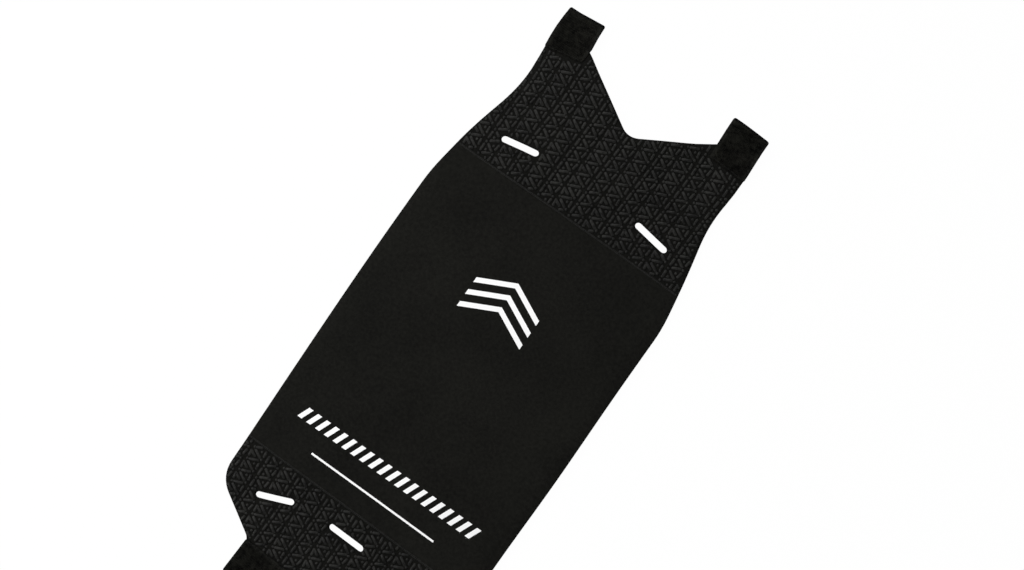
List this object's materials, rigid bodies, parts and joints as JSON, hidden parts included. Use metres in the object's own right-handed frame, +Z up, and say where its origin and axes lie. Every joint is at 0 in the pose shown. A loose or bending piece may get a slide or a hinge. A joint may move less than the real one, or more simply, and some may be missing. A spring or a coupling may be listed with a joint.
{
  "type": "suspension fork guard",
  "caption": "Flat flexible guard for a bicycle fork: a smooth middle panel with patterned grip ends, strap slots, a V notch at the crown end and hook tape at both ends.",
  "frame": {"origin": "below the middle of the guard, on the surface that it lies on", "axes": "+X across the guard, +Y along it towards the notched crown end, +Z up off the patterned face"},
  "size_m": [0.1686, 0.3938, 0.0046],
  "materials": {
    "smooth_sheet": "matt black knit over foam rubber",
    "grip_sheet": "black rubber skin with raised triangular bars",
    "hook_tape": "deep black hook tape"
  },
  "bodies": {
    "root": {"middle_panel": "smooth_sheet", "crown_grip_panel": "grip_sheet", "foot_grip_panel": "grip_sheet", "left_hook_tape": "hook_tape", "right_hook_tape": "hook_tape", "flap_hook_tape": "hook_tape"}
  },
  "joints": []
}
